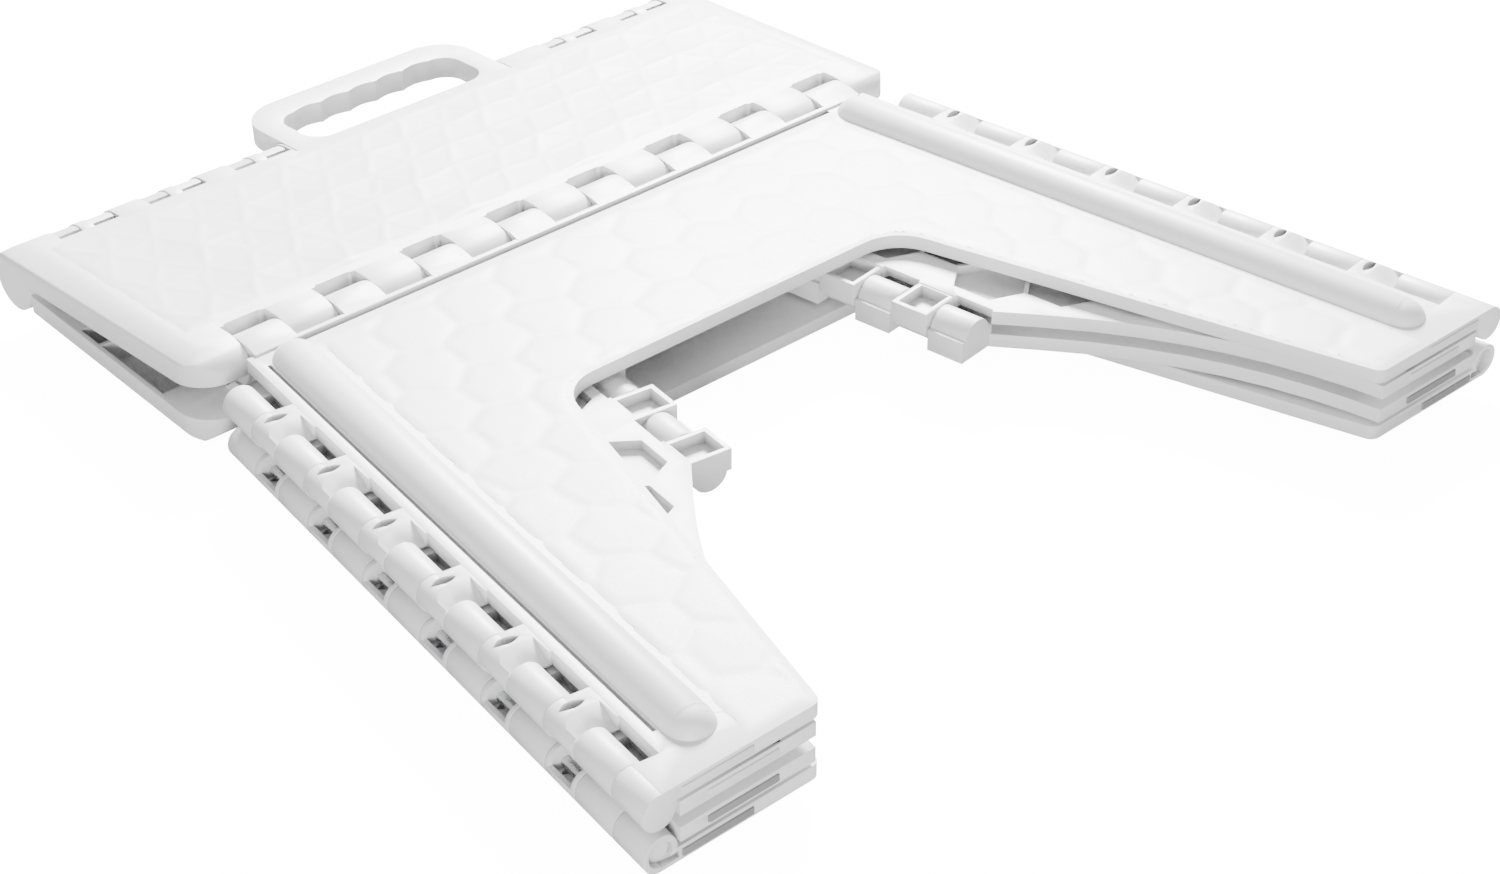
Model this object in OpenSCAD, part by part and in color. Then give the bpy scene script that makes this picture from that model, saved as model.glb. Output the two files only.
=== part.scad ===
// Folding pet step: two arched legs, a two-piece top with a carry handle and two folding end panels.
// It is drawn folded flat. X runs along the top hinge, +Y to the handle, +Z up.

/* [Legs] */
// Half length over the corner hinges, at the hinge bar
leg_half_w = 232.6; // [200:1:290]
// Leg length from the hinge bar to the foot
leg_len = 380; // [320:1:460]
// Angle by which each leg spreads outwards
splay = 7.8; // [5:0.1:10]
// Width of one foot
foot_w = 96.7; // [84:0.1:112]
// Thickness of a leg panel with its ribs
leg_t = 7.5; // [6.5:0.1:8]
// Distance from the hinge bar to the crown of the arch
arch_y = 121.6; // [108:0.1:140]
// Half width of the arch at its crown
arch_half_w = 111.8; // [95:0.1:125]
// Radius of the arch corners
arch_r = 26; // [18:1:34]

/* [Ridges] */
// Width of the half-round ridge
ridge_w = 24; // [18:1:28]
// Height of the ridge above the leg face
ridge_h = 9; // [6:0.5:11]
// Distance of the ridge axis from the outer edge
ridge_inset = 43.9; // [40:0.1:54]

/* [Top] */
// Half length of the top halves
top_half_w = 237; // [222:1:290]
// Distance between the two hinge axes of one half
link = 160; // [130:1:190]
// Depth of the skirt around a top half
skirt = 15.5; // [13:0.1:15.5]
// Height of the top surface over the leg hinge axis
main_rise = 13.5; // [13:0.1:14]
// Radius of the nose round the centre hinge
nose_r = 16.5; // [15:0.1:17.5]
// Corner radius of the top seen from above
top_corner_r = 20; // [12:1:22]
// Width of the sloping shoulder along the ends of the top
shoulder_w = 13; // [9:1:16]
// Drop of the sloping shoulder
shoulder_drop = 4.5; // [3:0.5:6]

/* [Handle] */
// Offset of the handle from the middle
handle_x = 12; // [8:1:14]
// Width of the handle
handle_w = 149; // [130:1:150]
// Reach of the handle beyond the centre hinge axis
handle_reach = 52; // [46:1:60]
// Thickness of the handle
handle_t = 12.5; // [10:0.1:12.5]
// Width of the bar that is gripped
grip_w = 17.5; // [14:0.5:20]
// Width of the two arms of the handle
handle_arm = 14; // [11:0.5:17]
// Number of finger scallops
scallops = 5; // [3:1:6]

/* [Hinges] */
// Distance between the outer faces of the folded legs
stack = 40; // [39.6:0.1:42]
// Height of the leg hinge axes over the middle plane
axis_h = 11; // [10.8:0.1:11.4]
// Pitch of the knuckles between legs and top
main_pitch = 54.8; // [46:0.1:56]
// Half width of a leg knuckle
main_half = 12.9; // [11:0.1:14]
// Radius of the leg knuckles
main_r = 12.5; // [11.5:0.1:12.5]
// Distance from the hinge bar to the main hinge axis
main_y = 14; // [13.9:0.1:16]
// Radius of the corner barrels
corner_r = 9; // [8:0.1:9]
// Pitch of the corner knuckles
corner_pitch = 52.55; // [44:0.05:53]
// Length of a leg arm on the corner hinge
arm_len = 23.1; // [20:0.1:26]
// Radius of the centre hinge of an end panel
end_r = 10; // [9:0.1:10.4]
// Half width of a box knuckle between the end panel halves
end_box = 12.4; // [11.4:0.1:12.8]
// Pitch of the knuckles between the end panel halves
end_pitch = 23.1; // [20:0.1:25]
// Radius of every hinge pin
pin_r = 2.5; // [2:0.1:3]
// Running clearance of a pin in its bore
pin_gap = 0.1; // [0.05:0.01:0.1]
// Side clearance between knuckles
side_gap = 0.6; // [0.4:0.1:0.8]

/* [Shell] */
// Thickness of the visible skins
skin = 2.5; // [2:0.1:3.5]
// Thickness of the ribs
rib = 2.2; // [1.6:0.1:3]
// Size across the flats of a rib cell
cell = 38; // [32:1:44]

/* [Pads] */
// Length of a foot pad
pad_len = 39; // [30:1:44]
// Height of a foot pad
pad_h = 3.6; // [2.5:0.1:4]
// How far a pad stands out of the foot
pad_out = 1; // [0.5:0.1:2]
// Depth of a pad's seat
pad_deep = 6; // [4:0.5:8]

/* [Hidden] */
$fn = 48;

// heights over the middle plane
face_z = stack / 2;
leg_in_z = face_z - leg_t;
end_hi = axis_h - 0.5;
end_lo = end_hi - leg_t;
mid_gap = 0.6;

// hinge layout
knuckle_n = 8;
function knuckle_x(k) = (k - (knuckle_n - 1) / 2) * main_pitch;
bar_half = knuckle_x(knuckle_n - 1) + main_half;
strip = 2 * corner_r + 5.4;
corner_y = leg_len / cos(splay);
arm_n = floor((corner_y - 14) / corner_pitch);
first_arm = corner_y - arm_len - (arm_n - 1) * corner_pitch;
centre_span = sqrt(link * link - axis_h * axis_h);
end_c = corner_r + centre_span;
arch_s = (arch_y + 5) / cos(splay);
end_stop = arch_s + 2.4 * end_pitch;
end_n = 6;
end_room = norm([end_box, end_r]) + 0.6;
end_in = end_c - end_room - 2.6;
pad_u = strip - 3;
end_pad_u = strip + 11;
end_top = first_arm - corner_pitch + arm_len;

// a top half in its own frame: t runs back, n is its outward normal, origin on the leg hinge axis
c_n = main_rise - nose_r;
c_t = sqrt(link * link - c_n * c_n);
tilt = asin(axis_h / link) - asin(-c_n / link);
travel = 90 - tilt;
slot_t0 = c_t - 7.6;
slot_t1 = c_t + handle_reach - grip_w;
slot_half = handle_w / 2 - handle_arm;
slot_far = slot_t1 - 2.4;

// the whole object stands with the middle of its box over the origin
mid_z = face_z + ridge_h;
tip_y = main_y + (c_t + handle_reach) * cos(tilt) + main_rise * sin(tilt);
bar_y = (leg_len + pad_out - tip_y) / 2;

// ---- outlines ----
function unit(v) = v / norm(v);
function dir(a) = [cos(a), sin(a)];

// points of the arc of radius r that rounds the corner b between a and c
function fillet(a, b, c, r, n = 8) =
  let (u = unit(a - b), v = unit(c - b), half = acos(u * v) / 2)
  let (m = b + unit(u + v) * r / sin(half))
  let (p = b + u * r / tan(half) - m, q = b + v * r / tan(half) - m)
  let (a0 = atan2(p.y, p.x), d = (atan2(q.y, q.x) - a0 + 540) % 360 - 180)
  [for (i = [0:n]) m + r * dir(a0 + d * i / n)];

// a closed outline from [point, radius] corners
function rounded(c) = [
  for (i = [0:len(c) - 1])
    each (c[i][1] > 0
      ? fillet(c[(i + len(c) - 1) % len(c)][0], c[i][0], c[(i + 1) % len(c)][0], c[i][1])
      : [c[i][0]])
];

// x of a line parallel to the outer edge, inset by u, at height y below the bar
function edge_x(y, u) = leg_half_w - y * tan(splay) - u / cos(splay);

// y below the bar where the foot's barrel starts, inset by u
function foot_y(u) = -(corner_y - arm_len + 0.3) * cos(splay) - u * sin(splay);

// the right half of the leg outline, as [point, radius] corners
function leg_side() = [
  [[edge_x(0, strip), 0], 0],
  [[edge_x(foot_y(strip), strip), foot_y(strip)], 0],
  [[edge_x(foot_y(corner_r + 1.5), corner_r + 1.5), foot_y(corner_r + 1.5)], 0],
  [[edge_x(-leg_len, corner_r + 1.5), -leg_len], 0],
  [[edge_x(-leg_len, foot_w), -leg_len], 6],
  [[arch_half_w, -arch_y], arch_r]
];

// corners of a half, mirrored to make the whole
function flip(c) = [for (i = [len(c) - 1:-1:0]) [[-c[i][0].x, c[i][0].y], c[i][1]]];

// centres of the rib cells in a box from p to q
function cells(p, q) = [
  for (j = [ceil(p.y / (cell * 0.866)):floor(q.y / (cell * 0.866))])
    for (i = [ceil(p.x / cell - 0.5):floor(q.x / cell)])
      [(i + (abs(j) % 2) / 2) * cell, j * cell * 0.866]
];

// true where a cell fits the leg with a margin
function in_leg(c) =
  let (r = cell / 2 + 1)
  c.y < -r - 6 && c.y > -leg_len + r + 6
  && abs(c.x) < edge_x(c.y, strip + r)
  && (c.y > -arch_y + r + 4 || abs(c.x) > arch_in(c.y) + r + 3);

// x of the leg's inner edge at height y
function arch_in(y) =
  arch_half_w + (edge_x(-leg_len, foot_w) - arch_half_w) * (-y - arch_y) / (leg_len - arch_y);

// ---- placing ----
module stand() translate([0, bar_y, mid_z]) children();
module lower() mirror([0, 0, 1]) children();
module right() mirror([1, 0, 0]) children();

// frame of the left corner hinge: x is inset from the outer edge, -y runs down the leg
module at_corner() translate([-leg_half_w, 0, 0]) rotate([0, 0, -splay]) children();

// frame of an upper top half
module at_top() translate([0, main_y, axis_h]) rotate([-tilt, 0, 0]) children();

// a box between two corners
module span(a, b) translate(a) cube(b - a);

// a cylinder along X or Y between two places
module rod_x(x0, x1, r) translate([x0, 0, 0]) rotate([0, 90, 0]) cylinder(r = r, h = x1 - x0);
module rod_y(y0, y1, r) translate([0, y0, 0]) rotate([-90, 0, 0]) cylinder(r = r, h = y1 - y0);

module hex_hole(c) translate(c) rotate(30) circle(d = (cell - rib) / 0.866, $fn = 6);

// everything in front of the foot's end plane is cut off
module foot_plane() span([-600, -leg_len - 200, -60], [600, -leg_len, 60]);

// ---- leg ----
module leg_plate() {
  difference() {
    translate([0, 0, leg_in_z]) linear_extrude(leg_t) polygon(rounded(concat(leg_side(), flip(leg_side()))));
    for (c = cells([-leg_half_w - 60, -leg_len], [leg_half_w + 60, 0]))
      if (in_leg(c)) translate([0, 0, leg_in_z - 1]) linear_extrude(leg_t - skin + 1) hex_hole(c);
    span([-bar_half + 2 * main_half, -4.6, face_z - 2], [bar_half - 2 * main_half, -1.6, face_z + 1]);
  }
  span([-bar_half, -1.6, leg_in_z], [bar_half, 1.2, face_z + 1.2]);
}

// one knuckle of the leg, rising from the bar and curling over the hinge axis
module leg_knuckle() {
  difference() {
    union() {
      translate([0, main_y, axis_h]) rod_x(-main_half, main_half, main_r);
      rotate([90, 0, 90]) translate([0, 0, -main_half]) linear_extrude(2 * main_half)
        polygon([[-1, leg_in_z], [-1, face_z + 1], [6, axis_h + main_r - 0.7],
                 [main_y, axis_h + main_r], [main_y, axis_h - 4]]);
    }
    span([-main_half - 1, main_y - main_r - 1, -20], [main_half + 1, main_y + main_r + 1, mid_gap]);
  }
}

// the half-round ridge on the leg face, domed at both ends
module ridge() {
  r = (ridge_w * ridge_w / 4 + ridge_h * ridge_h) / (2 * ridge_h);
  z = face_z + ridge_h - r;
  s0 = r - 3;
  s1 = corner_y - r - 20;
  intersection() {
    union() {
      translate([ridge_inset, 0, z]) rod_y(-s1, -s0, r);
      translate([ridge_inset, -s0, z]) rotate([90, 0, 0]) sphere(r - 0.1);
      translate([ridge_inset, -s1, z]) rotate([90, 0, 0]) sphere(r - 0.1);
    }
    span([ridge_inset - 20, -s1 - 20, face_z - 0.5], [ridge_inset + 20, 10, face_z + ridge_h + 1]);
  }
}

// one arm of the leg on the corner hinge, from s0 to s1 down the leg, hollow between its two end walls
module leg_arm(s0, s1) {
  difference() {
    union() {
      translate([corner_r, 0, axis_h]) rod_y(-s1, -s0, corner_r);
      span([corner_r + 1.5, -s1, leg_in_z + 0.1], [strip + 1, -s0, face_z - 0.1]);
    }
    translate([corner_r + 2, -s0 - 6, 0]) intersection() {
      translate([0, -7, face_z - 7.5]) cylinder(r = 9.5, h = 12);
      translate([0, 7, face_z - 7.5]) cylinder(r = 9.5, h = 12);
    }
    intersection() {
      translate([corner_r, 0, axis_h]) rod_y(-s1 + 2.6, -s0 - 2.6, corner_r - 2.2);
      span([0, -s1, -20], [30, -s0, axis_h + 3]);
    }
    span([-1, -s1 + 2.6, -20], [2 * corner_r + 1, -s0 - 2.6, axis_h - 1]);
    translate([0, -s0 - 8, face_z + 0.8]) rotate([26, 0, 0])
      span([2.5, -s1 + s0 + 4, 0], [strip - 1.5, 0, 8]);
  }
}

module leg_corner() {
  at_corner() {
    for (k = [0:arm_n - 2]) leg_arm(first_arm + k * corner_pitch, first_arm + k * corner_pitch + arm_len);
    translate([corner_r, 0, axis_h]) rod_y(-corner_y - 6, -corner_y + arm_len, corner_r);
    span([corner_r + 1.5, -corner_y + 1, leg_in_z + 0.1], [strip + 1, -corner_y + arm_len, face_z - 0.1]);
  }
}

// hollow end of a foot barrel, running into the seat of the pad
module foot_hollow() {
  translate([corner_r, 0, axis_h]) rod_y(-corner_y - 8, -corner_y + 5, corner_r - 2.8);
  span([corner_r, -corner_y - 8, leg_in_z + 2], [pad_u - 1.6, -corner_y + 5, leg_in_z + 5.5]);
}

module leg(hollow) {
  difference() {
    union() {
      leg_plate();
      for (k = [0:knuckle_n - 1]) translate([knuckle_x(k), 0, 0]) leg_knuckle();
      leg_corner();
      right() leg_corner();
      at_corner() ridge();
      right() at_corner() ridge();
    }
    translate([0, main_y, axis_h]) rod_x(-bar_half - 1, bar_half + 1, pin_r + 0.02);
    at_corner() corner_bore(0.02);
    right() at_corner() corner_bore(0.02);
    at_corner() ridge_groove();
    right() at_corner() ridge_groove();
    foot_plane();
    at_foot(leg_in_z + leg_t / 2, pad_u) pad_body(0.02);
    right() at_foot(leg_in_z + leg_t / 2, pad_u) pad_body(0.02);
    if (hollow) {
      at_corner() foot_hollow();
      right() at_corner() foot_hollow();
    }
  }
}

module ridge_groove() span([ridge_inset - ridge_w / 2 - 3.4, -corner_y + 36, face_z - 2],
                           [ridge_inset - ridge_w / 2 - 1.2, -8, face_z + 1]);

module corner_bore(gap) translate([corner_r, 0, axis_h]) rod_y(-corner_y + 7.6, 0, pin_r + gap);

// ---- pads ----
module at_foot(z, u) translate([-edge_x(-leg_len, u), -leg_len, z]) children();
module pad_body(gap)
  span([-gap, -pad_out, -pad_h / 2 - gap], [pad_len + gap, pad_deep + gap, pad_h / 2 + gap]);
module leg_pad() at_foot(leg_in_z + leg_t / 2, pad_u) pad_body(0);
module end_pad() at_foot(end_lo + leg_t / 2, end_pad_u) pad_body(0);

// ---- top half, in its own frame ----
// side profile: round at the leg hinge, flat top, round at the centre hinge
function top_profile(r) = concat(
  [for (i = [0:8]) 12 * dir(180 - i * 10)],
  [[3, main_rise - 0.3], [6, main_rise]],
  [for (i = [0:18]) [c_t, c_n] + r * dir(90 - i * 15)],
  [[c_t - r, main_rise - skirt], [12, main_rise - skirt], [2, -10]],
  [for (i = [0:4]) 12 * dir(238 - i * 14.5)]
);

// outline from above, rounded at the corners by the leg hinge
function top_plan() = rounded([
  [[-top_half_w, -12], top_corner_r], [[top_half_w, -12], top_corner_r],
  [[top_half_w, c_t + nose_r], 0], [[-top_half_w, c_t + nose_r], 0]
]);

// end view, with a sloping shoulder along both ends
function top_end() = rounded([
  [[-top_half_w, -40], 0], [[top_half_w, -40], 0],
  [[top_half_w, main_rise - shoulder_drop], 3], [[top_half_w - shoulder_w, main_rise], 8],
  [[-top_half_w + shoulder_w, main_rise], 8], [[-top_half_w, main_rise - shoulder_drop], 3]
]);

module top_end_block()
  translate([0, c_t + 40, 0]) rotate([90, 0, 0]) linear_extrude(c_t + 80) polygon(top_end());

module top_blank() {
  intersection() {
    rotate([90, 0, 90]) translate([0, 0, -top_half_w]) linear_extrude(2 * top_half_w)
      polygon(top_profile(nose_r));
    translate([0, 0, -40]) linear_extrude(60) polygon(top_plan());
    top_end_block();
  }
}

// cells between the ribs of a top half, under an even skin
module top_cells(t1) intersection() {
  for (k = [0:knuckle_n])
    for (t = [[26, (c_t + 2) / 2], [(c_t + 2) / 2 + rib, t1]]) {
      x0 = max(knuckle_x(k - 1) + rib / 2, -top_half_w + skin);
      x1 = min(knuckle_x(k) - rib / 2, top_half_w - skin);
      span([x0, t[0], -30], [x1, t[1], main_rise]);
    }
  translate([0, 0, -skin - 0.5]) top_end_block();
}

// the barrels stop short of both ends, where the skirt is level
module top_level_ends()
  for (side = [-1, 1])
    translate([side * (bar_half + 3 + 30), 0, 0]) span([-30, -20, -30], [30, 20, main_rise - skirt]);

// room for the leg knuckles
module top_notches() {
  for (k = [0:knuckle_n - 1]) {
    c = knuckle_x(k);
    span([c - main_half - side_gap, -20, -30], [c + main_half + side_gap, main_r + 1.1, 30]);
    translate([c, main_r + 1.1, 0]) linear_extrude(60, center = true)
      polygon([[-main_half + 3, 1.4], [main_half - 3, 1.4], [main_half + 0.5, -2], [-main_half - 0.5, -2]]);
  }
}

handle_lo = handle_x - handle_w / 2;
handle_hi = handle_x + handle_w / 2;

// places of the lower half's knuckles on the centre hinge, clear of the handle
centre_half = 17.4;
centre_r = nose_r - 0.9;
function centre_places() = [
  for (k = [0:knuckle_n - 1])
    let (x = knuckle_x(k))
    if (x + centre_half < handle_lo - 0.5 || x - centre_half > handle_hi + 3) x
];

function handle_outline(g) = rounded([
  [[handle_lo - g, c_t - 26 - g], 0], [[handle_hi + g, c_t - 26 - g], 0],
  [[handle_hi + g, c_t + handle_reach + g], 24], [[handle_lo - g, c_t + handle_reach + g], 26]
]);

// finger slot with scallops on its far side
function scallop(i) =
  let (w = 2 * (slot_half - 13) / scallops, x = handle_x + slot_half - 13 - i * w)
  [for (a = [0:6]) [x - w * a / 6, slot_far + 2.4 * sin(a * 30)]];
function slot_outline() = concat(
  fillet([handle_x - slot_half, slot_t1], [handle_x - slot_half, slot_t0], [handle_x, slot_t0], 13),
  fillet([handle_x, slot_t0], [handle_x + slot_half, slot_t0], [handle_x + slot_half, slot_t1], 13),
  fillet([handle_x + slot_half, slot_t0], [handle_x + slot_half, slot_far], [handle_x, slot_far], 12.5),
  [for (i = [0:scallops - 1]) each scallop(i)],
  fillet([handle_x, slot_far], [handle_x - slot_half, slot_far], [handle_x - slot_half, slot_t0], 12.5)
);

module handle_plate()
  translate([0, 0, main_rise - handle_t]) linear_extrude(handle_t) polygon(handle_outline(0));

module top_upper_body() {
  difference() {
    union() {
      difference() {
        top_blank();
        top_cells(c_t - 30);
        span([handle_lo - 1, slot_t0 - 3, -60], [handle_hi + 1, c_t + 40, main_rise + 1]);
      }
      handle_plate();
    }
    top_notches();
    translate([0, 0, -60]) linear_extrude(100) polygon(slot_outline());
    rod_x(-bar_half - 3, bar_half + 3, pin_r + pin_gap);
    translate([0, c_t, c_n]) rod_x(-top_half_w + 2, top_half_w - 2, pin_r + 0.02);
    for (x = centre_places()) {
      span([x - centre_half - side_gap, c_t - 7, -60], [x + centre_half + side_gap, c_t + 40, 40]);
      translate([x, c_t, c_n]) rod_x(-centre_half - side_gap, centre_half + side_gap, centre_r + 0.6);
      translate([x, c_t, c_n]) rod_x(-3.5 - side_gap, 3.5 + side_gap, nose_r + 0.7);
      span([x - centre_half - side_gap, c_t - nose_r - 2, -60], [x + centre_half + side_gap, c_t + 1, c_n]);
    }
    top_level_ends();
  }
}

module top_lower_body() {
  difference() {
    union() {
      difference() {
        top_blank();
        top_cells(c_t - handle_reach - 8);
        span([-top_half_w - 1, c_t - nose_r - 0.8, -60], [top_half_w + 1, c_t + 40, 60]);
      }
      for (x = centre_places()) {
        difference() {
          translate([x, c_t, c_n]) rod_x(-centre_half, centre_half, centre_r);
          span([x - centre_half - 1, c_t - 20, -60], [x + centre_half + 1, c_t - 0.5, c_n - 5]);
        }
        translate([x, c_t, c_n]) rod_x(-3.5, 3.5, nose_r - 0.3);
        span([x - centre_half, c_t - nose_r - 1, main_rise - skirt], [x + centre_half, c_t, centre_r + c_n]);
      }
    }
    top_notches();
    rod_x(-bar_half - 3, bar_half + 3, pin_r + pin_gap);
    translate([0, c_t, c_n]) rod_x(-top_half_w - 2, top_half_w + 2, pin_r + pin_gap);
    translate([0, c_t * 2, main_rise - handle_t - 0.6]) mirror([0, 1, 0])
      linear_extrude(handle_t + 10) polygon(handle_outline(1.5));
    top_level_ends();
  }
}

// ---- end panel half, in the frame of the left corner ----
// s is counted down the leg, inwards is +x
function end_edge_x(s) =
  end_foot_x() + (end_c - end_r - end_foot_x()) *
    pow(max(0, 1 - (s - end_stop) / (corner_y - end_stop)), 2.2);
function end_foot_x() = foot_w * cos(splay) - 2;
function end_plan() = concat(
  [[corner_r + end_r + 0.6, -end_top], [end_c - end_r - 1, -end_top], [end_c - end_r - 1, -end_stop]],
  [for (i = [1:10]) let (s = end_stop + (corner_y + 14 - end_stop) * i / 10) [end_edge_x(s), -s]],
  [[corner_r + end_r + 0.6, -corner_y - 14]]
);

// outline of the field of rib cells
function end_field() = concat(
  [[strip + 4.6, -end_top - 2.5], [end_in, -end_top - 2.5]],
  [for (i = [0:10])
    let (s = end_stop + (corner_y - 11 - end_stop) * i / 10) [min(end_in, end_edge_x(s) - 2.8), -s]],
  [[strip + 4.6, -corner_y + 11]]
);

// true where a cell lies far enough in the field
function in_end(c) =
  let (s = -c.y)
  c.x > strip + 12 && s > end_top + 9 && s < corner_y - 20 && c.x < min(end_in, end_edge_x(s)) - 4;

module end_cells() translate([0, 0, end_lo + skin]) linear_extrude(leg_t) intersection() {
  polygon(end_field());
  for (c = cells([0, -corner_y], [end_c, 0]))
    if (in_end(c)) hex_hole(c);
}

// middle s of knuckle k on the centre hinge, counted up from the arch
function end_knuckle_s(k) = end_stop - (k + 0.5) * end_pitch;

// own = 0 or 1 picks which knuckles belong to this half
module end_half(own) {
  difference() {
    union() {
      translate([0, 0, end_lo]) linear_extrude(leg_t) polygon(end_plan());
      for (k = [0:arm_n - 1]) end_barrel(end_top + k * corner_pitch, first_arm + k * corner_pitch);
    }
    end_cells();
    for (k = [0:arm_n - 1])
      span([2 * corner_r - 0.4, -first_arm - k * corner_pitch + side_gap + 2.5, end_lo + 2],
           [strip + 2.2, -end_top - k * corner_pitch - side_gap - 2.5, end_hi + 1]);
    for (k = [1 - own:2:end_n - 1]) end_knuckle_room(k);
    translate([corner_r, 0, axis_h]) rod_y(-corner_y - 8, 0, pin_r + pin_gap);
  }
  difference() {
    for (k = [own:2:end_n - 1]) end_knuckle(k);
    translate([end_c, 0, 0]) rod_y(-end_stop + 3.5, -end_top + 4, pin_r + (own == 0 ? 0.02 : pin_gap));
  }
}

// a barrel on the corner hinge, from s0 to s1 down the leg
module end_barrel(s0, s1) {
  translate([corner_r, 0, axis_h]) rod_y(-s1 + side_gap, -s0 - side_gap, corner_r);
  span([corner_r, -s1 + side_gap, end_lo], [strip + 2, -s0 - side_gap, end_hi]);
}

module end_knuckle(k) {
  h = end_pitch / 2 - side_gap;
  translate([end_c, -end_knuckle_s(k), 0]) difference() {
    union() {
      rod_y(-h, h, end_r);
      span([-end_box, -h, -2], [end_box, h, end_r]);
    }
    span([-end_box + 2.4, -h + 2.4, pin_r + 1.2], [end_box - 2.4, h - 2.4, end_r + 1]);
  }
}

module end_knuckle_room(k) {
  h = end_pitch / 2 + 0.01;
  translate([end_c, -end_knuckle_s(k), 0]) rod_y(-h, h, end_room);
}

module end_panel(own) {
  difference() {
    at_corner() end_half(own);
    foot_plane();
    at_foot(end_lo + leg_t / 2, end_pad_u) pad_body(0.02);
  }
}

// ---- pins ----
module main_pin() translate([0, main_y, axis_h]) rod_x(-bar_half + 0.5, bar_half - 0.5, pin_r);
module corner_pin() at_corner() translate([corner_r, 0, axis_h]) rod_y(-corner_y + 8, -end_top - 2, pin_r);
module end_pin() at_corner() translate([end_c, 0, 0])
  rod_y(-end_stop + 4, -end_stop + end_n * end_pitch - side_gap - 1, pin_r);
module top_pin(x0, x1) at_top() translate([0, c_t, c_n]) rod_x(x0, x1, pin_r);

// ---- nodes ----
white = "whitesmoke";
steel = "silver";
light_pad = "gainsboro";
dark_pad = "dimgray";

module leg_upper() color(white) stand() leg(false);
module leg_lower() color(white) stand() lower() leg(true);
module top_half_upper() color(white) stand() at_top() top_upper_body();
module top_half_lower() color(white) stand() lower() at_top() top_lower_body();
module end_left_upper() color(white) stand() end_panel(0);
module end_left_lower() color(white) stand() lower() end_panel(1);
module end_right_upper() color(white) stand() right() end_panel(1);
module end_right_lower() color(white) stand() right() lower() end_panel(0);
module pin_main_upper() color(steel) stand() main_pin();
module pin_main_lower() color(steel) stand() lower() main_pin();
module pin_top_left() color(steel) stand() top_pin(-top_half_w + 3, handle_lo - 3);
module pin_top_right() color(steel) stand() top_pin(handle_hi + 3, top_half_w - 3);
module pin_corner_left_upper() color(steel) stand() corner_pin();
module pin_corner_left_lower() color(steel) stand() lower() corner_pin();
module pin_corner_right_upper() color(steel) stand() right() corner_pin();
module pin_corner_right_lower() color(steel) stand() lower() right() corner_pin();
module pin_end_left() color(steel) stand() end_pin();
module pin_end_right() color(steel) stand() right() end_pin();
module pad_leg_upper_left() color(light_pad) stand() leg_pad();
module pad_leg_upper_right() color(light_pad) stand() right() leg_pad();
module pad_leg_lower_left() color(dark_pad) stand() lower() leg_pad();
module pad_leg_lower_right() color(dark_pad) stand() lower() right() leg_pad();
module pad_end_left_upper() color(light_pad) stand() end_pad();
module pad_end_left_lower() color(dark_pad) stand() lower() end_pad();
module pad_end_right_upper() color(light_pad) stand() right() end_pad();
module pad_end_right_lower() color(dark_pad) stand() lower() right() end_pad();

leg_upper();
leg_lower();
top_half_upper();
top_half_lower();
end_left_upper();
end_left_lower();
end_right_upper();
end_right_lower();
pin_main_upper();
pin_main_lower();
pin_top_left();
pin_top_right();
pin_corner_left_upper();
pin_corner_left_lower();
pin_corner_right_upper();
pin_corner_right_lower();
pin_end_left();
pin_end_right();
pad_leg_upper_left();
pad_leg_upper_right();
pad_leg_lower_left();
pad_leg_lower_right();
pad_end_left_upper();
pad_end_left_lower();
pad_end_right_upper();
pad_end_right_lower();
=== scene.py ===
import math

import bpy
import numpy as np
from bpy.props import FloatProperty, FloatVectorProperty, PointerProperty
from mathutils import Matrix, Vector, noise


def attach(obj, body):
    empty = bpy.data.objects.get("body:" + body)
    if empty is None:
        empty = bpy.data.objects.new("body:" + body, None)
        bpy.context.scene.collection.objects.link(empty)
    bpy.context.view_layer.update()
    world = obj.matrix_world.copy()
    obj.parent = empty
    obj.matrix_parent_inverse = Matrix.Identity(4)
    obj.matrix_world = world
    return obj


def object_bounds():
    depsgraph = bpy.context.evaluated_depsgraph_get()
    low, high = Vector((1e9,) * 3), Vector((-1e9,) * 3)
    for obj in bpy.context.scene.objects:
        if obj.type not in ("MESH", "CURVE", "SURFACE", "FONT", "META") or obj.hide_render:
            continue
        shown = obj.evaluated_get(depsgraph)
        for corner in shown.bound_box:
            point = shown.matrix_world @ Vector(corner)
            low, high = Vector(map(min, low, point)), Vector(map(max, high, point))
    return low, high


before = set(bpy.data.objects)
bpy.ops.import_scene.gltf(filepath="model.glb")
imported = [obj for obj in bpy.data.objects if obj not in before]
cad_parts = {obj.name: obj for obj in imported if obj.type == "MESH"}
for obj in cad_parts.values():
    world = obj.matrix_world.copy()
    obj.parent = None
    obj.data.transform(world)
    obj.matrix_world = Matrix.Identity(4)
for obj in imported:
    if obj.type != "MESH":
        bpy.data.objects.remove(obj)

bl_info = {
    "name": "Folding step",
    "version": (1, 0, 0),
    "blender": (4, 5, 0),
    "location": "3D View > Sidebar > Step",
    "description": "Finishes the folding step: moulded faces, rounded edges, finishes and the stage",
    "category": "Object",
}

CAD_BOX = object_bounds()
MID_Z = (CAD_BOX[0].z + CAD_BOX[1].z) / 2

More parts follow.
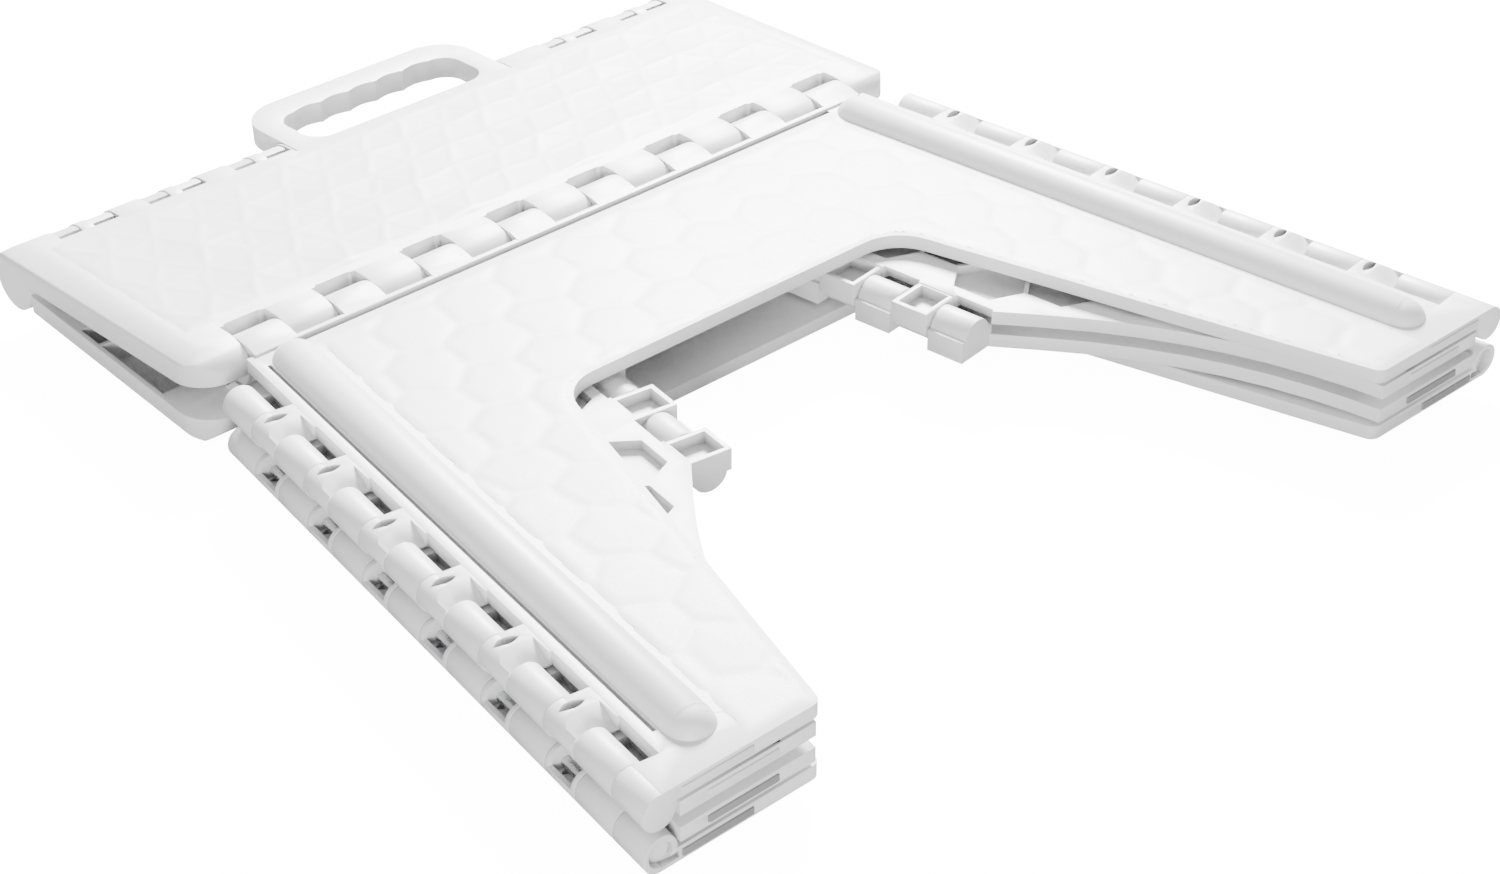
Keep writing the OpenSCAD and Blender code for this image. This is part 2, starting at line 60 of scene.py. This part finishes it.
# the layout of the folded step, in metres
BAR_Y = 0.077309
FACE = 0.020
SPLAY = math.radians(7.8)
LEG_HALF = 0.2326
LEG_LEN = 0.380
FOOT_W = 0.0967
ARCH_Y, ARCH_HALF, ARCH_R = 0.1216, 0.1118, 0.026
RIDGE_IN = 0.0575
TOP_HALF, SHOULDER = 0.237, 0.0145
HINGE_Y, HINGE_Z, TILT = 0.014, 0.011, math.radians(2.868)
TOP_RISE, NOSE_T = 0.0135, 0.15997
HANDLE_X, HANDLE_HALF = 0.012, 0.0745

# the moulded fields: they start and end clear of the hinges, and their rims sink a little into the face
FACETS_FROM, FACETS_TO = 0.0185, NOSE_T - 0.0082
HANDLE_CLEAR = 0.0025
HANDLE_BACK = {"upper": 0.012, "lower": 0.0545}
SINK, RIM = 0.0003, 0.0006
LEG_RIM_WIDTH, TOP_RIM_WIDTH = 0.006, 0.007
LEG_GRID, TOP_GRID = 0.0026, 0.0019
LINE_WIDTH = 0.0017

# edges, and the reach of the painted shade in hollows
SMOOTH_UP_TO, ROUND_FROM = math.radians(32), math.radians(34)
ROD_EDGE, PAD_EDGE = 0.0004, 0.0005
# reach of the painted shade that darkens slots and rib cells
PAINTED_SHADE_REACH = 0.016

# the stage: name, place, size and power of each lamp
LAMPS = (("key", (1.6, 1.5, 1.7), 0.9, 690), ("fill", (-1.5, -1.7, 0.36), 0.6, 60))
SKY, BACKGROUND_GLOW = 0.9, 14.0
FLOOR_WHITE, BOUNCE_WHITE = 0.85, 0.3
CAMERA_PLACE = (-0.86546, -0.99707, 0.82132)
CAMERA_TURN = (math.radians(56.5), 0, math.radians(-42.6))
CAMERA_LENS, CAMERA_SENSOR = 72.08, 36

LEGS = ("leg_upper", "leg_lower")
TOPS = ("top_half_upper", "top_half_lower")
ENDS = ("end_left_upper", "end_left_lower", "end_right_upper", "end_right_lower")
PINS = tuple(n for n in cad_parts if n.startswith("pin_"))
PADS = tuple(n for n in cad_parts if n.startswith("pad_"))


class StepSizes(bpy.types.PropertyGroup):
    """Colours of the finishes, with the grey of the painted shade in hollows and the painted light and shade
    on the foot pads
    """

    cell: FloatProperty(name="Leg cell", description="Size across the flats of a cell on the leg faces",
                        default=0.038, min=0.02, max=0.06, subtype="DISTANCE")
    cell_rise: FloatProperty(name="Leg relief", description="Height of the pillows on the leg faces",
                             default=0.0007, min=0.0, max=0.002, subtype="DISTANCE")
    facet: FloatProperty(name="Top facet", description="Pitch of the three-sided facets on the top halves",
                         default=0.027, min=0.015, max=0.05, subtype="DISTANCE")
    facet_rise: FloatProperty(name="Top relief", description="Height of the facets on the top halves",
                              default=0.0013, min=0.0, max=0.003, subtype="DISTANCE")
    seam: FloatProperty(name="Facet lines", description="Height of the fine lines between the facets",
                        default=0.0003, min=0.0, max=0.001, subtype="DISTANCE")
    edge_round: FloatProperty(name="Edge radius", description="Rounding of the moulded edges",
                              default=0.0007, min=0.0001, max=0.002, subtype="DISTANCE")


class StepColours(bpy.types.PropertyGroup):
    """Colours of the finishes"""

    shell: FloatVectorProperty(name="Shell", description="White of the moulded plastic",
                               default=(0.66, 0.66, 0.66), min=0, max=1, size=3, subtype="COLOR")
    # painted shade: the grey that the white goes to deep in slots and rib cells, standing in for the shade
    # that falls there, not a colour of the plastic
    painted_shade: FloatVectorProperty(name="Hollows", description="Grey of the plastic deep in slots and rib cells",
                                default=(0.14, 0.14, 0.14), min=0, max=1, size=3, subtype="COLOR")
    steel: FloatVectorProperty(name="Steel", description="Colour of the hinge rods",
                               default=(0.62, 0.63, 0.64), min=0, max=1, size=3, subtype="COLOR")
    # painted light and shade: one rubber for all the pads, lighter on the upper pads where light falls and
    # darker on the lower pads, where shade falls
    pad_painted_lit: FloatVectorProperty(name="Light pad", description="Colour of the upper foot pads",
                                   default=(0.62, 0.62, 0.62), min=0, max=1, size=3, subtype="COLOR")
    pad_painted_shade: FloatVectorProperty(name="Dark pad", description="Colour of the lower foot pads",
                                  default=(0.20, 0.20, 0.20), min=0, max=1, size=3, subtype="COLOR")


# ---- finishes ----
def new_material(name):
    mat = bpy.data.materials.get(name)
    if mat is not None:
        return mat, None, None
    mat = bpy.data.materials.new(name)
    mat.use_nodes = True
    return mat, mat.node_tree, mat.node_tree.nodes["Principled BSDF"]


def grain(tree, scale, detail=3.0):
    """Noise on the object's own coordinates, so that it stays on the piece when it moves."""
    place = tree.nodes.new("ShaderNodeTexCoord")
    tex = tree.nodes.new("ShaderNodeTexNoise")
    tex.inputs["Scale"].default_value = scale
    tex.inputs["Detail"].default_value = detail
    tree.links.new(place.outputs["Object"], tex.inputs["Vector"])
    return tex


def ramp(tree, source, low, high, lo=0.35, hi=0.65):
    node = tree.nodes.new("ShaderNodeMapRange")
    node.inputs["From Min"].default_value = lo
    node.inputs["From Max"].default_value = hi
    node.inputs["To Min"].default_value = low
    node.inputs["To Max"].default_value = high
    tree.links.new(source, node.inputs["Value"])
    return node.outputs["Result"]


def tint(tree, source, colour, spread):
    """The colour, a little darker and lighter with the grain."""
    node = tree.nodes.new("ShaderNodeMix")
    node.data_type = "RGBA"
    node.inputs[6].default_value = (*[c * (1 - spread) for c in colour], 1)
    node.inputs[7].default_value = (*[min(1, c * (1 + spread)) for c in colour], 1)
    tree.links.new(source, node.inputs["Factor"])
    return node.outputs[2]


def bump(tree, height, strength, distance):
    node = tree.nodes.new("ShaderNodeBump")
    node.inputs["Strength"].default_value = strength
    node.inputs["Distance"].default_value = distance
    tree.links.new(height, node.inputs["Height"])
    return node.outputs["Normal"]


def paint_shade_in_hollows(tree, colour, deep, reach):
    """The colour, going to the grey of the painted shade in slots and rib cells narrower than the reach,
    where shade falls.
    """
    # painted shade: the occlusion of the piece's own hollows darkens its colour towards the grey
    painted_shade = tree.nodes.new("ShaderNodeAmbientOcclusion")
    painted_shade.only_local = True
    painted_shade.samples = 8
    painted_shade.inputs["Distance"].default_value = reach
    node = tree.nodes.new("ShaderNodeMix")
    node.data_type = "RGBA"
    node.inputs[6].default_value = (*deep, 1)
    tree.links.new(ramp(tree, painted_shade.outputs["AO"], 0.0, 1.0, 0.12, 0.62), node.inputs["Factor"])
    tree.links.new(colour, node.inputs[7])
    return node.outputs[2]


def moulded_plastic(name, colour, deep):
    """White moulded plastic: slow flow marks in colour, a fine matt grain, and painted shade in slots and rib
    cells.
    """
    mat, tree, shader = new_material(name)
    if tree is None:
        return mat
    flow = grain(tree, 9.0)
    fine = grain(tree, 1900.0, 2.0)
    white = tint(tree, flow.outputs["Fac"], colour, 0.018)
    # painted shade in the hollows, laid over the flow marks
    tree.links.new(paint_shade_in_hollows(tree, white, deep, PAINTED_SHADE_REACH), shader.inputs["Base Color"])
    tree.links.new(ramp(tree, fine.outputs["Fac"], 0.40, 0.52), shader.inputs["Roughness"])
    tree.links.new(bump(tree, fine.outputs["Fac"], 0.25, 0.00006), shader.inputs["Normal"])
    shader.inputs["IOR"].default_value = 1.5
    return mat


def drawn_steel(name, colour):
    """Drawn steel rod with fine lines along it."""
    mat, tree, shader = new_material(name)
    if tree is None:
        return mat
    fine = grain(tree, 700.0, 2.0)
    tree.links.new(tint(tree, fine.outputs["Fac"], colour, 0.06), shader.inputs["Base Color"])
    tree.links.new(ramp(tree, fine.outputs["Fac"], 0.22, 0.36), shader.inputs["Roughness"])
    tree.links.new(bump(tree, fine.outputs["Fac"], 0.2, 0.00004), shader.inputs["Normal"])
    shader.inputs["Metallic"].default_value = 1.0
    return mat


def soft_rubber(name, colour):
    """Matt rubber with a pebbled grain."""
    mat, tree, shader = new_material(name)
    if tree is None:
        return mat
    fine = grain(tree, 900.0, 4.0)
    tree.links.new(tint(tree, fine.outputs["Fac"], colour, 0.08), shader.inputs["Base Color"])
    tree.links.new(ramp(tree, fine.outputs["Fac"], 0.65, 0.85), shader.inputs["Roughness"])
    tree.links.new(bump(tree, fine.outputs["Fac"], 0.5, 0.0001), shader.inputs["Normal"])
    return mat


def dress(obj, mat):
    obj.data.materials.clear()
    obj.data.materials.append(mat)
    for poly in obj.data.polygons:
        poly.material_index = 0


# ---- edges ----
def smooth_group():
    """Shades everything smooth but the edges sharper than 32 degrees."""
    group = bpy.data.node_groups.get("crisp_edges")
    if group is not None:
        return group
    group = bpy.data.node_groups.new("crisp_edges", "GeometryNodeTree")
    group.interface.new_socket("Geometry", in_out="INPUT", socket_type="NodeSocketGeometry")
    group.interface.new_socket("Geometry", in_out="OUTPUT", socket_type="NodeSocketGeometry")
    nodes, links = group.nodes, group.links
    start, end = nodes.new("NodeGroupInput"), nodes.new("NodeGroupOutput")
    angle = nodes.new("GeometryNodeInputMeshEdgeAngle")
    over = nodes.new("FunctionNodeCompare")
    over.operation = "GREATER_THAN"
    over.inputs[1].default_value = SMOOTH_UP_TO
    faces = nodes.new("GeometryNodeSetShadeSmooth")
    edges = nodes.new("GeometryNodeSetShadeSmooth")
    edges.domain = "EDGE"
    edges.inputs["Shade Smooth"].default_value = False
    links.new(start.outputs[0], faces.inputs["Geometry"])
    links.new(faces.outputs["Geometry"], edges.inputs["Geometry"])
    links.new(angle.outputs["Unsigned Angle"], over.inputs[0])
    links.new(over.outputs["Result"], edges.inputs["Selection"])
    links.new(edges.outputs["Geometry"], end.inputs[0])
    return group


def soften(obj, width):
    """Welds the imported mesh, rounds its edges and shades its curved faces smooth."""
    mesh = obj.data
    for name in ("custom_normal", "sharp_face", "sharp_edge"):
        if name in mesh.attributes:
            mesh.attributes.remove(mesh.attributes[name])
    weld = obj.modifiers.new("weld", "WELD")
    weld.merge_threshold = 2e-6
    bevel = obj.modifiers.new("edge_round", "BEVEL")
    bevel.width = width
    bevel.segments = 2
    bevel.limit_method = "ANGLE"
    bevel.angle_limit = ROUND_FROM
    bevel.miter_outer = "MITER_ARC"
    obj.modifiers.new("crisp_edges", "NODES").node_group = smooth_group()


# ---- moulded faces ----
def arc_corner(a, b, c, r, n=8):
    """Points of the arc of radius r that rounds the corner b between a and c."""
    u, v = (a - b).normalized(), (c - b).normalized()
    half = u.angle(v) / 2
    m = b + (u + v).normalized() * (r / math.sin(half))
    p, q = b + u * (r / math.tan(half)) - m, b + v * (r / math.tan(half)) - m
    a0 = math.atan2(p.y, p.x)
    turn = (math.atan2(q.y, q.x) - a0 + 3 * math.pi) % (2 * math.pi) - math.pi
    return [m + Vector((math.cos(a0 + turn * i / n), math.sin(a0 + turn * i / n))) * r for i in range(n + 1)]


def edge_x(y, inset):
    return LEG_HALF - y * math.tan(SPLAY) - inset / math.cos(SPLAY)


def leg_outline():
    """Outline of the moulded field of a leg face, from the bar to the feet and round the arch."""
    foot = edge_x(-LEG_LEN, FOOT_W)
    side = [(edge_x(-0.006, RIDGE_IN), -0.006, 0), (edge_x(-LEG_LEN, RIDGE_IN), -LEG_LEN + 0.001, 0),
            (foot, -LEG_LEN + 0.001, 0.006), (ARCH_HALF, -ARCH_Y, ARCH_R)]
    ring = side + [(-x, y, r) for x, y, r in reversed(side)]
    pts = []
    for i, (x, y, r) in enumerate(ring):
        b = Vector((x, y))
        if r:
            a, c = Vector(ring[i - 1][:2]), Vector(ring[(i + 1) % len(ring)][:2])
            pts += arc_corner(a, b, c, r)
        else:
            pts.append(b)
    return np.array([tuple(p) for p in pts])


def depth_inside(px, py, ring):
    """Distance of each point from the outline, negative outside it."""
    a, b = ring, np.roll(ring, -1, 0)
    near = np.full(px.shape, 1e9)
    inside = np.zeros(px.shape, bool)
    for (ax, ay), (bx, by) in zip(a, b):
        dx, dy = bx - ax, by - ay
        t = np.clip(((px - ax) * dx + (py - ay) * dy) / (dx * dx + dy * dy), 0, 1)
        near = np.minimum(near, np.hypot(px - ax - t * dx, py - ay - t * dy))
        if dy:
            cross = (ay > py) != (by > py)
            inside ^= cross & (px < ax + dx * (py - ay) / dy)
    return np.where(inside, near, -near)


def ease(x):
    x = np.clip(x, 0, 1)
    return x * x * (3 - 2 * x)


def hex_depth(x, y, size):
    """Distance of each point from the edge of its cell in a honeycomb of that size."""
    rows = size * math.sqrt(3)
    best = None
    for ox, oy in ((0, 0), (size / 2, rows / 2)):
        cx = np.round((x - ox) / size) * size + ox
        cy = np.round((y - oy) / rows) * rows + oy
        dx, dy = np.abs(x - cx), np.abs(y - cy)
        d = size / 2 - np.maximum(dx, dx / 2 + dy * math.sqrt(3) / 2)
        best = d if best is None else np.maximum(best, d)
    return best


def wander(px, py, reach, scale):
    """Small sideways shifts that keep the cell edges from being ruler straight."""
    shift = [noise.noise_vector(Vector((x * scale, y * scale, 0.0))) for x, y in zip(px.ravel(), py.ravel())]
    s = np.array([tuple(v) for v in shift])
    return px + reach * s[:, 0].reshape(px.shape), py + reach * s[:, 1].reshape(py.shape)


def sheet(name, px, py, pz, keep, place):
    """A grid surface of the kept squares, with place() turning each point into the frame."""
    rows, cols = px.shape
    index = np.arange(rows * cols).reshape(rows, cols)
    quad = keep[:-1, :-1] & keep[1:, :-1] & keep[:-1, 1:] & keep[1:, 1:]
    faces = np.stack([index[:-1, :-1], index[:-1, 1:], index[1:, 1:], index[1:, :-1]], -1)[quad]
    used = np.unique(faces)
    remap = np.full(rows * cols, -1)
    remap[used] = np.arange(len(used))
    pts = place(px.ravel()[used], py.ravel()[used], pz.ravel()[used])
    mesh = bpy.data.meshes.new(name)
    mesh.from_pydata(pts.tolist(), [], remap[faces].tolist())
    mesh.polygons.foreach_set("use_smooth", [True] * len(mesh.polygons))
    obj = bpy.data.objects.new(name, mesh)
    bpy.context.scene.collection.objects.link(obj)
    return obj


def grid(x0, x1, y0, y1, step):
    return np.meshgrid(np.arange(x0, x1 + step, step), np.arange(y0, y1 + step, step))


def leg_field(name, side, sizes, mat):
    """The honeycomb of soft pillows on a leg's outer face."""
    ring = leg_outline()
    px, py = grid(ring[:, 0].min(), ring[:, 0].max(), ring[:, 1].min(), 0, LEG_GRID)
    depth = depth_inside(px, py, ring)
    wx, wy = wander(px, py, 0.0045, 38.0)
    cell = hex_depth(wx, wy, sizes.cell)
    rise = sizes.cell_rise * (0.12 + 0.6 * ease(cell / 0.005) + 0.28 * ease(cell / 0.018))
    pz = FACE - SINK + (SINK + rise) * ease(depth / LEG_RIM_WIDTH)

    def place(x, y, z):
        return np.stack([x, y + BAR_Y, MID_Z + side * z], -1)

    obj = sheet(f"leg_field_{name}", px, py, pz, depth > RIM, place)
    if side < 0:
        obj.data.flip_normals()
    dress(obj, mat)
    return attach(obj, f"leg_{name}")


def facet_height(x, y, pitch):
    """Height of a net of facets, every third crossing raised, and the distance to its nearest line."""
    v = y / (pitch * math.sqrt(3) / 2)
    u = x / pitch - v / 2
    iu, iv = np.floor(u), np.floor(v)
    fu, fv = u - iu, v - iv

    def peak(a, b):
        lift = np.where((a - b) % 3 == 0, 1.0, 0.16)
        return lift * (0.72 + 0.28 * np.sin(a * 12.9898 + b * 78.233))

    low = fu + fv < 1
    h00, h10, h01, h11 = peak(iu, iv), peak(iu + 1, iv), peak(iu, iv + 1), peak(iu + 1, iv + 1)
    height = np.where(low, h00 * (1 - fu - fv) + h10 * fu + h01 * fv,
                      h11 * (fu + fv - 1) + h10 * (1 - fv) + h01 * (1 - fu))
    near = np.where(low, np.minimum(np.minimum(fu, fv), 1 - fu - fv),
                    np.minimum(np.minimum(1 - fu, 1 - fv), fu + fv - 1))
    return height, near * pitch * math.sqrt(3) / 2


def top_field(name, side, sizes, mat):
    """The net of low facets on a top half, clear of the notches and of the handle, which covers part of the
    lower half when the step is open."""
    t0, t1, reach = FACETS_FROM, FACETS_TO, TOP_HALF - SHOULDER
    px, pt = grid(-reach, reach, t0, t1, TOP_GRID)
    depth = np.minimum(reach - np.abs(px), np.minimum(pt - t0, t1 - pt))
    gap = np.maximum(np.abs(px - HANDLE_X) - HANDLE_HALF - HANDLE_CLEAR, NOSE_T - HANDLE_BACK[name] - pt)
    depth = np.minimum(depth, gap)
    wx, wt = wander(px, pt, 0.003, 45.0)
    height, near = facet_height(wx, wt, sizes.facet)
    rise = sizes.facet_rise * (0.1 + 0.9 * height) + sizes.seam * np.exp(-((near / LINE_WIDTH) ** 2))
    pn = TOP_RISE - SINK + (SINK + rise) * ease(depth / TOP_RIM_WIDTH)

    def place(x, t, n):
        y = HINGE_Y + t * math.cos(TILT) + n * math.sin(TILT)
        z = HINGE_Z - t * math.sin(TILT) + n * math.cos(TILT)
        return np.stack([x, y + BAR_Y, MID_Z + side * z], -1)

    obj = sheet(f"top_field_{name}", px, pt, pn, depth > RIM, place)
    if side < 0:
        obj.data.flip_normals()
    dress(obj, mat)
    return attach(obj, f"top_{name}")


# ---- operators ----
class STEP_OT_legs(bpy.types.Operator):
    """Round the edges of the two legs and lay the honeycomb on their faces"""

    bl_idname = "step.legs"
    bl_label = "Legs"

    def execute(self, context):
        sizes, colours = context.scene.step_sizes, context.scene.step_colours
        mat = moulded_plastic("moulded_white", colours.shell, colours.painted_shade)
        for name in LEGS:
            dress(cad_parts[name], mat)
            soften(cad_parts[name], sizes.edge_round)
        leg_field("upper", 1, sizes, mat)
        leg_field("lower", -1, sizes, mat)
        return {"FINISHED"}


class STEP_OT_top_halves(bpy.types.Operator):
    """Round the edges of the two top halves and lay the net of facets on them"""

    bl_idname = "step.top_halves"
    bl_label = "Top halves"

    def execute(self, context):
        sizes, colours = context.scene.step_sizes, context.scene.step_colours
        mat = moulded_plastic("moulded_white", colours.shell, colours.painted_shade)
        for name in TOPS:
            dress(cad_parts[name], mat)
            soften(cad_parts[name], sizes.edge_round)
        top_field("upper", 1, sizes, mat)
        top_field("lower", -1, sizes, mat)
        return {"FINISHED"}


class STEP_OT_end_panels(bpy.types.Operator):
    """Round the edges of the four end panel halves"""

    bl_idname = "step.end_panels"
    bl_label = "End panels"

    def execute(self, context):
        sizes, colours = context.scene.step_sizes, context.scene.step_colours
        mat = moulded_plastic("moulded_white", colours.shell, colours.painted_shade)
        for name in ENDS:
            dress(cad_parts[name], mat)
            soften(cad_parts[name], sizes.edge_round)
        return {"FINISHED"}


class STEP_OT_hinge_rods(bpy.types.Operator):
    """Finish the steel hinge rods"""

    bl_idname = "step.hinge_rods"
    bl_label = "Hinge rods"

    def execute(self, context):
        mat = drawn_steel("drawn_steel", context.scene.step_colours.steel)
        for name in PINS:
            dress(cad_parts[name], mat)
            soften(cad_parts[name], ROD_EDGE)
        return {"FINISHED"}


class STEP_OT_foot_pads(bpy.types.Operator):
    """Finish the rubber foot pads, one rubber painted lighter above where light falls and painted darker
    below where shade falls
    """

    bl_idname = "step.foot_pads"
    bl_label = "Foot pads"

    def execute(self, context):
        colours = context.scene.step_colours
        # the same rubber in a painted lit copy for the upper pads and a painted shaded copy for the lower
        # pads
        light = soft_rubber("rubber_painted_lit", colours.pad_painted_lit)
        dark = soft_rubber("rubber_painted_shade", colours.pad_painted_shade)
        for name in PADS:
            dress(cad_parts[name], dark if "lower" in name else light)
            soften(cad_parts[name], PAD_EDGE)
        return {"FINISHED"}


def lamp(name, place, aim, size, power):
    data = bpy.data.lights.new(name, "AREA")
    data.shape = "DISK"
    data.size = size
    data.energy = power
    obj = bpy.data.objects.new(name, data)
    obj.location = place
    obj.rotation_euler = (Vector(aim) - Vector(place)).to_track_quat("-Z", "Y").to_euler()
    bpy.context.scene.collection.objects.link(obj)


def board(name, height, white):
    mesh = bpy.data.meshes.new(name)
    mesh.from_pydata([(-6, -6, 0), (6, -6, 0), (6, 6, 0), (-6, 6, 0)], [], [(0, 1, 2, 3)])
    obj = bpy.data.objects.new(name, mesh)
    obj.location.z = height
    bpy.context.scene.collection.objects.link(obj)
    mat, tree, shader = new_material("pale_" + name)
    shader.inputs["Base Color"].default_value = (white, white, white, 1)
    shader.inputs["Roughness"].default_value = 0.9
    mesh.materials.append(mat)
    return obj, shader


class STEP_OT_stage(bpy.types.Operator):
    """Set the pale floor, the soft studio lamps and the camera"""

    bl_idname = "step.stage"
    bl_label = "Stage"

    def execute(self, context):
        scene = context.scene
        floor, shader = board("floor", CAD_BOX[0].z - 0.0005, FLOOR_WHITE)
        shader.inputs["Emission Color"].default_value = (1, 1, 1, 1)
        shader.inputs["Emission Strength"].default_value = BACKGROUND_GLOW
        floor.visible_diffuse = floor.visible_glossy = floor.visible_shadow = False
        bounce, _ = board("bounce", CAD_BOX[0].z - 0.001, BOUNCE_WHITE)
        bounce.visible_camera = False
        world = bpy.data.worlds.new("studio")
        world.use_nodes = True
        sky = world.node_tree.nodes["Background"]
        sky.inputs["Color"].default_value = (1, 1, 1, 1)
        sky.inputs["Strength"].default_value = SKY
        scene.world = world
        for name, place, size, power in LAMPS:
            lamp(name, place, (0, 0, 0), size, power)
        cam = bpy.data.objects.new("camera", bpy.data.cameras.new("camera"))
        cam.data.sensor_width = CAMERA_SENSOR
        cam.data.lens = CAMERA_LENS
        cam.location = CAMERA_PLACE
        cam.rotation_euler = CAMERA_TURN
        scene.collection.objects.link(cam)
        scene.camera = cam
        return {"FINISHED"}


OPERATORS = (STEP_OT_legs, STEP_OT_top_halves, STEP_OT_end_panels, STEP_OT_hinge_rods, STEP_OT_foot_pads,
             STEP_OT_stage)


class STEP_PT_panel(bpy.types.Panel):
    """Sizes, colours and the steps that finish the folding step"""

    bl_label = "Folding step"
    bl_idname = "STEP_PT_panel"
    bl_space_type = "VIEW_3D"
    bl_region_type = "UI"
    bl_category = "Step"

    def draw(self, context):
        for group in (context.scene.step_sizes, context.scene.step_colours):
            box = self.layout.box()
            for name in group.bl_rna.properties.keys():
                if name not in ("rna_type", "name"):
                    box.prop(group, name)
        for op in OPERATORS:
            self.layout.operator(op.bl_idname)


CLASSES = (StepSizes, StepColours, *OPERATORS, STEP_PT_panel)


def register():
    for cls in CLASSES:
        bpy.utils.register_class(cls)
    bpy.types.Scene.step_sizes = PointerProperty(type=StepSizes)
    bpy.types.Scene.step_colours = PointerProperty(type=StepColours)


def unregister():
    del bpy.types.Scene.step_colours
    del bpy.types.Scene.step_sizes
    for cls in reversed(CLASSES):
        bpy.utils.unregister_class(cls)


def main():
    register()
    bpy.ops.step.legs()
    bpy.ops.step.top_halves()
    bpy.ops.step.end_panels()
    bpy.ops.step.hinge_rods()
    bpy.ops.step.foot_pads()
    bpy.ops.step.stage()


if __name__ == "__main__":
    main()
